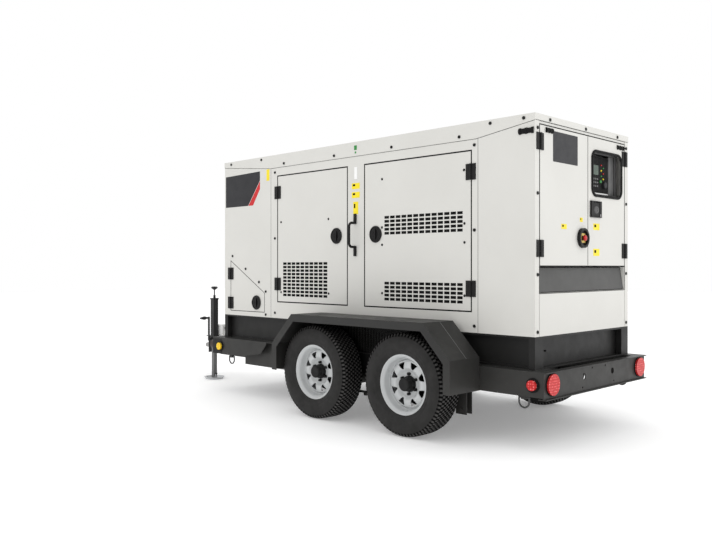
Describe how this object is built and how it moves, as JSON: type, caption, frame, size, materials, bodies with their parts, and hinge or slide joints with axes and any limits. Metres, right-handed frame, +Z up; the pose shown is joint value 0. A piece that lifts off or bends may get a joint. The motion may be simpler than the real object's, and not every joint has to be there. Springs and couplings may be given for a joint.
{
  "type": "towable diesel generator",
  "caption": "Canopied diesel generator on a tandem-axle trailer with lunette eye, side jack, fenders, grilled service doors and a rear control window.",
  "frame": {"origin": "on the ground, under the middle of the whole machine", "axes": "+X forwards towards the hitch, +Y to the machine's left, +Z up"},
  "size_m": [4.72, 2.052, 2.184],
  "materials": {
    "frame_black": "satin",
    "skid_black": "satin",
    "steel_grey": "satin",
    "jack_paint": "satin",
    "zinc": "satin",
    "red_lens": "gloss",
    "amber_lens": "gloss",
    "black_plastic": "matte",
    "red_plastic": "gloss",
    "tyre": "matte",
    "rim_white": "gloss",
    "canopy_white": "satin",
    "flap_grey": "satin",
    "panel_grey": "matte",
    "machine_alloy": "satin",
    "muffler_steel": "satin"
  },
  "bodies": {
    "chassis": {"main_frame": "frame_black", "tongue": "frame_black", "hitch_channel": "frame_black", "lunette_eye": "steel_grey", "side_rails": "frame_black", "rear_bumper": "frame_black", "fenders": "frame_black", "skid_base": "skid_black", "red_lamps": "red_lens", "amber_lamps": "amber_lens", "spring_hangers": "frame_black", "screws": "black_plastic", "rear_axle": "frame_black", "rear_springs": "frame_black", "front_axle": "frame_black", "front_springs": "frame_black", "equalizers": "frame_black", "jack_tube": "jack_paint", "canopy_frame": "canopy_white", "roof": "canopy_white", "fixed_panels": "canopy_white", "control_panel": "panel_grey", "engine": "machine_alloy", "alternator": "machine_alloy", "radiator": "machine_alloy", "muffler": "muffler_steel", "hinge_leaves": "black_plastic", "pull_handles": "black_plastic"},
    "wheelset_rear_left": {"tyre_rear_left": "tyre", "wheel_rear_left": "rim_white"},
    "wheelset_rear_right": {"tyre_rear_right": "tyre", "wheel_rear_right": "rim_white"},
    "wheelset_front_left": {"tyre_front_left": "tyre", "wheel_front_left": "rim_white"},
    "wheelset_front_right": {"tyre_front_right": "tyre", "wheel_front_right": "rim_white"},
    "leg": {"jack_leg": "zinc"},
    "crank": {"jack_crank": "jack_paint"},
    "plunger": {"jack_plunger": "jack_paint"},
    "ring_rear_left_body": {"ring_rear_left": "steel_grey"},
    "ring_rear_right_body": {"ring_rear_right": "steel_grey"},
    "ring_front_left_body": {"ring_front_left": "steel_grey"},
    "ring_front_right_body": {"ring_front_right": "steel_grey"},
    "door_left_rear_body": {"door_left_rear": "canopy_white"},
    "door_left_front_body": {"door_left_front": "canopy_white"},
    "door_right_rear_body": {"door_right_rear": "canopy_white"},
    "door_right_front_body": {"door_right_front": "canopy_white"},
    "service_door_body": {"service_door": "canopy_white"},
    "rear_door_left_body": {"rear_door_left": "canopy_white", "estop_housing": "black_plastic"},
    "rear_door_right_body": {"rear_door_right": "canopy_white"},
    "cable_flap_body": {"cable_flap": "flap_grey"},
    "latch_left_rear_body": {"latch_left_rear": "black_plastic"},
    "latch_left_front_body": {"latch_left_front": "black_plastic"},
    "latch_right_rear_body": {"latch_right_rear": "black_plastic"},
    "latch_right_front_body": {"latch_right_front": "black_plastic"},
    "service_latch_body": {"service_latch": "black_plastic"},
    "rear_latch_body": {"rear_latch": "black_plastic"},
    "estop_body": {"estop_button": "red_plastic"},
    "fan": {"cooling_fan": "black_plastic"}
  },
  "joints": [
    {"name": "rear_left_wheel_spin", "type": "hinge", "parent": "chassis", "child": "wheelset_rear_left", "pos_m": [-1.385, 0.858, 0.359], "axis": [0, 1, 0], "continuous": true},
    {"name": "rear_right_wheel_spin", "type": "hinge", "parent": "chassis", "child": "wheelset_rear_right", "pos_m": [-1.385, -0.858, 0.359], "axis": [0, 1, 0], "continuous": true},
    {"name": "front_left_wheel_spin", "type": "hinge", "parent": "chassis", "child": "wheelset_front_left", "pos_m": [-0.473, 0.858, 0.359], "axis": [0, 1, 0], "continuous": true},
    {"name": "front_right_wheel_spin", "type": "hinge", "parent": "chassis", "child": "wheelset_front_right", "pos_m": [-0.473, -0.858, 0.359], "axis": [0, 1, 0], "continuous": true},
    {"name": "jack_leg_slide", "type": "slide", "parent": "chassis", "child": "leg", "axis": [0, 0, 1], "range_m": [0, 0.16]},
    {"name": "jack_crank_turn", "type": "hinge", "parent": "chassis", "child": "crank", "pos_m": [1.844, 0.296, 0.418], "axis": [0, 1, 0], "continuous": true},
    {"name": "jack_plunger_slide", "type": "slide", "parent": "chassis", "child": "plunger", "axis": [0, 0, 1], "range_m": [0, 0.02]},
    {"name": "ring_rear_left_swing", "type": "hinge", "parent": "chassis", "child": "ring_rear_left_body", "pos_m": [-2.18, 0.675, 0.338], "axis": [1, 0, 0], "range_deg": [-70, 70]},
    {"name": "ring_rear_right_swing", "type": "hinge", "parent": "chassis", "child": "ring_rear_right_body", "pos_m": [-2.18, -0.675, 0.338], "axis": [1, 0, 0], "range_deg": [-70, 70]},
    {"name": "ring_front_left_swing", "type": "hinge", "parent": "chassis", "child": "ring_front_left_body", "pos_m": [0.968, 0.675, 0.338], "axis": [1, 0, 0], "range_deg": [-70, 70]},
    {"name": "ring_front_right_swing", "type": "hinge", "parent": "chassis", "child": "ring_front_right_body", "pos_m": [0.968, -0.675, 0.338], "axis": [1, 0, 0], "range_deg": [-70, 70]},
    {"name": "door_left_rear_swing", "type": "hinge", "parent": "chassis", "child": "door_left_rear_body", "pos_m": [-1.743, 0.655, 1.418], "axis": [0, 0, 1], "range_deg": [0, 110]},
    {"name": "door_left_front_swing", "type": "hinge", "parent": "chassis", "child": "door_left_front_body", "pos_m": [0.329, 0.655, 1.418], "axis": [0, 0, -1], "range_deg": [0, 110]},
    {"name": "door_right_rear_swing", "type": "hinge", "parent": "chassis", "child": "door_right_rear_body", "pos_m": [-1.743, -0.655, 1.418], "axis": [0, 0, -1], "range_deg": [0, 110]},
    {"name": "door_right_front_swing", "type": "hinge", "parent": "chassis", "child": "door_right_front_body", "pos_m": [0.329, -0.655, 1.418], "axis": [0, 0, 1], "range_deg": [0, 110]},
    {"name": "service_door_swing", "type": "hinge", "parent": "chassis", "child": "service_door_body", "pos_m": [1.022, 0.655, 0.971], "axis": [0, 0, -1], "range_deg": [0, 110]},
    {"name": "rear_door_left_swing", "type": "hinge", "parent": "chassis", "child": "rear_door_left_body", "pos_m": [-2.25, 0.59, 1.63], "axis": [0, 0, -1], "range_deg": [0, 110]},
    {"name": "rear_door_right_swing", "type": "hinge", "parent": "chassis", "child": "rear_door_right_body", "pos_m": [-2.25, -0.59, 1.63], "axis": [0, 0, 1], "range_deg": [0, 110]},
    {"name": "cable_flap_swing", "type": "hinge", "parent": "chassis", "child": "cable_flap_body", "pos_m": [-2.21, 0, 1.158], "axis": [0, 1, 0], "range_deg": [0, 70]},
    {"name": "latch_left_rear_turn", "type": "hinge", "parent": "door_left_rear_body", "child": "latch_left_rear_body", "pos_m": [-0.849, 0.647, 1.418], "axis": [0, 1, 0], "range_deg": [0, 90]},
    {"name": "latch_left_front_turn", "type": "hinge", "parent": "door_left_front_body", "child": "latch_left_front_body", "pos_m": [-0.416, 0.647, 1.418], "axis": [0, 1, 0], "range_deg": [0, 90]},
    {"name": "latch_right_rear_turn", "type": "hinge", "parent": "door_right_rear_body", "child": "latch_right_rear_body", "pos_m": [-0.849, -0.647, 1.418], "axis": [0, 1, 0], "range_deg": [0, 90]},
    {"name": "latch_right_front_turn", "type": "hinge", "parent": "door_right_front_body", "child": "latch_right_front_body", "pos_m": [-0.416, -0.647, 1.418], "axis": [0, 1, 0], "range_deg": [0, 90]},
    {"name": "service_latch_turn", "type": "hinge", "parent": "service_door_body", "child": "service_latch_body", "pos_m": [0.63, 0.647, 0.848], "axis": [0, 1, 0], "range_deg": [0, 90]},
    {"name": "rear_latch_pull", "type": "hinge", "parent": "rear_door_right_body", "child": "rear_latch_body", "pos_m": [-2.25, -0.14, 1.62], "axis": [0, 1, 0], "range_deg": [0, 30], "stiffness_Nm_per_rad": 0.5},
    {"name": "estop_press", "type": "slide", "parent": "rear_door_left_body", "child": "estop_body", "axis": [1, 0, 0], "range_m": [0, 0.006], "stiffness_N_per_m": 800},
    {"name": "fan_spin", "type": "hinge", "parent": "chassis", "child": "fan", "pos_m": [0.096, 0, 1.18], "axis": [1, 0, 0], "continuous": true}
  ],
  "couplings": [
    {"joint": "jack_crank_turn", "follows": "jack_leg_slide", "rad_per_m": 314.16}
  ]
}
